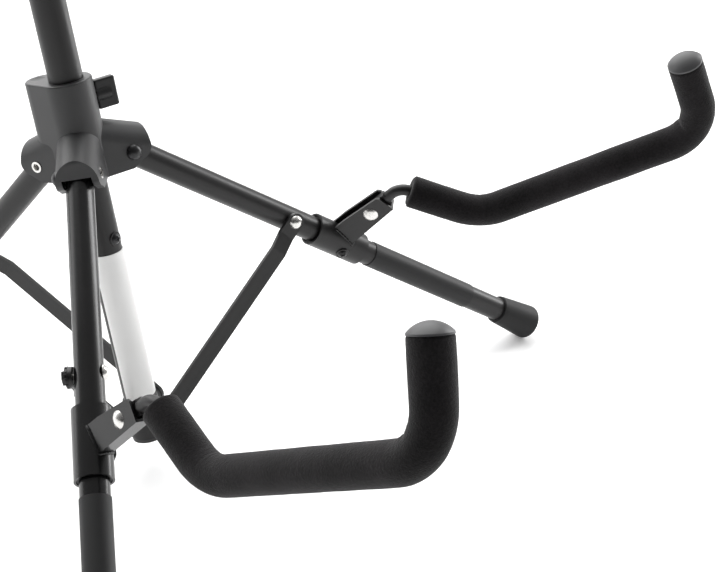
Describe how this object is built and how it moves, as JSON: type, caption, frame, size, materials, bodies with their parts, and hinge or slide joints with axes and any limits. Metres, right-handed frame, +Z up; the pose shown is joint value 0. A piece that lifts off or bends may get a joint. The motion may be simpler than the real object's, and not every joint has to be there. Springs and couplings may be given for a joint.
{
  "type": "folding guitar stand",
  "caption": "Folding tripod guitar stand: leaning tubular mast, hinged legs with struts, two foam-padded arms that cradle the body and a padded neck yoke.",
  "frame": {"origin": "on the floor, under the middle of the stand's bounding box", "axes": "+Z up; -Y towards the side the guitar rests on; +X to the right as seen from the guitar's side, facing the mast"},
  "size_m": [0.6668, 0.6515, 0.6965],
  "materials": {
    "black_paint": "semi-gloss powder coat",
    "hub_plastic": "satin, fine moulded grain",
    "foam": "matte closed-cell foam",
    "foot_rubber": "satin",
    "guard_plastic": "matte",
    "cap_plastic": "satin",
    "white_plastic": "satin white, blank",
    "knob_plastic": "satin",
    "inner_plastic": "natural moulding",
    "brass_insert": "turned",
    "steel_screw": "zinc plated",
    "bright_steel": "nickel plated",
    "black_fasteners": "black zinc"
  },
  "bodies": {
    "hub": {"hub": "hub_plastic", "hinge_pins": "black_fasteners", "hinge_nuts": "bright_steel", "hub_insert": "brass_insert"},
    "mast": {"mast_tube": "black_paint", "stop_screw": "black_fasteners", "lower_sleeve": "white_plastic", "mast_plug": "inner_plastic", "strut_bracket": "black_paint", "neck_clutch": "hub_plastic", "neck_insert": "brass_insert"},
    "near_leg": {"near_leg": "black_paint", "near_leg_guard": "guard_plastic", "near_foot": "foot_rubber", "near_strut_bolt": "bright_steel", "near_strut_nut": "black_fasteners", "near_arm_sleeve": "black_paint", "near_sleeve_bush": "inner_plastic", "near_clevis": "black_paint", "near_arm_rivet": "bright_steel", "near_sleeve_screw": "black_fasteners"},
    "near_strut": {"near_strut": "black_paint", "near_strut_rivet": "bright_steel"},
    "far_leg": {"far_leg": "black_paint", "far_leg_guard": "guard_plastic", "far_foot": "foot_rubber", "far_strut_bolt": "bright_steel", "far_strut_nut": "black_fasteners", "far_arm_sleeve": "black_paint", "far_sleeve_bush": "inner_plastic", "far_clevis": "black_paint", "far_arm_rivet": "bright_steel", "far_sleeve_screw": "black_fasteners"},
    "far_strut": {"far_strut": "black_paint", "far_strut_rivet": "bright_steel"},
    "rear_leg": {"rear_leg": "black_paint", "rear_leg_guard": "guard_plastic", "rear_foot": "foot_rubber", "rear_strut_bolt": "bright_steel", "rear_strut_nut": "black_fasteners"},
    "rear_strut": {"rear_strut": "black_paint", "rear_strut_rivet": "bright_steel"},
    "near_arm": {"near_arm_rod": "black_paint", "near_arm_foam": "foam", "near_arm_cap": "cap_plastic"},
    "far_arm": {"far_arm_rod": "black_paint", "far_arm_foam": "foam", "far_arm_cap": "cap_plastic"},
    "hub_knob": {"hub_knob": "knob_plastic", "hub_knob_screw": "steel_screw"},
    "neck_knob": {"neck_knob": "knob_plastic", "neck_knob_screw": "steel_screw"},
    "neck": {"neck_tube": "black_paint", "yoke_head": "hub_plastic", "yoke_rod": "black_paint", "yoke_foam": "foam", "yoke_caps": "cap_plastic"}
  },
  "joints": [
    {"name": "mast_slide", "type": "slide", "parent": "hub", "child": "mast", "axis": [0, -0.165, -0.9863], "range_m": [0, 0.11051]},
    {"name": "near_leg_hinge", "type": "hinge", "parent": "hub", "child": "near_leg", "pos_m": [-0.02823, 0.05672, 0.25298], "axis": [0.5, -0.8541, 0.1429], "range_deg": [0, 37.2]},
    {"name": "near_strut_pivot", "type": "hinge", "parent": "near_leg", "child": "near_strut", "pos_m": [-0.13298, -0.01897, 0.16705], "axis": [-0.5, 0.8541, -0.1429], "range_deg": [0, 70.74]},
    {"name": "far_leg_hinge", "type": "hinge", "parent": "hub", "child": "far_leg", "pos_m": [0.02823, 0.05672, 0.25298], "axis": [0.5, 0.8541, -0.1429], "range_deg": [0, 37.2]},
    {"name": "far_strut_pivot", "type": "hinge", "parent": "far_leg", "child": "far_strut", "pos_m": [0.13298, -0.01897, 0.16705], "axis": [-0.5, -0.8541, 0.1429], "range_deg": [0, 70.74]},
    {"name": "rear_leg_hinge", "type": "hinge", "parent": "hub", "child": "rear_leg", "pos_m": [0, 0.10495, 0.24491], "axis": [-1, 0, 0], "range_deg": [0, 48.16]},
    {"name": "rear_strut_pivot", "type": "hinge", "parent": "rear_leg", "child": "rear_strut", "pos_m": [0, 0.19409, 0.14486], "axis": [1, 0, 0], "range_deg": [0, 84.89]},
    {"name": "near_arm_pivot", "type": "hinge", "parent": "near_leg", "child": "near_arm", "pos_m": [-0.17009, -0.07472, 0.1709], "axis": [-0.9017, 0.3505, 0.2533], "range_deg": [0, 104]},
    {"name": "far_arm_pivot", "type": "hinge", "parent": "far_leg", "child": "far_arm", "pos_m": [0.17009, -0.07472, 0.1709], "axis": [-0.9017, -0.3505, -0.2533], "range_deg": [0, 104]},
    {"name": "hub_knob_turn", "type": "hinge", "parent": "hub", "child": "hub_knob", "pos_m": [0, 0.08023, 0.29467], "axis": [0.866, -0.4931, 0.0825], "range_deg": [0, 360]},
    {"name": "neck_knob_turn", "type": "hinge", "parent": "mast", "child": "neck_knob", "pos_m": [0, 0.12776, 0.57872], "axis": [0, 0.9863, -0.165], "range_deg": [0, 360]},
    {"name": "neck_slide", "type": "slide", "parent": "mast", "child": "neck", "axis": [0, 0.165, 0.9863], "range_m": [-0.03, 0.11]}
  ],
  "couplings": [
    {"joint": "near_leg_hinge", "follows": "mast_slide", "rad_per_m": 5.8745},
    {"joint": "near_strut_pivot", "follows": "mast_slide", "rad_per_m": 11.171},
    {"joint": "far_leg_hinge", "follows": "mast_slide", "rad_per_m": 5.8745},
    {"joint": "far_strut_pivot", "follows": "mast_slide", "rad_per_m": 11.171},
    {"joint": "rear_leg_hinge", "follows": "mast_slide", "rad_per_m": 7.6057},
    {"joint": "rear_strut_pivot", "follows": "mast_slide", "rad_per_m": 13.406}
  ]
}
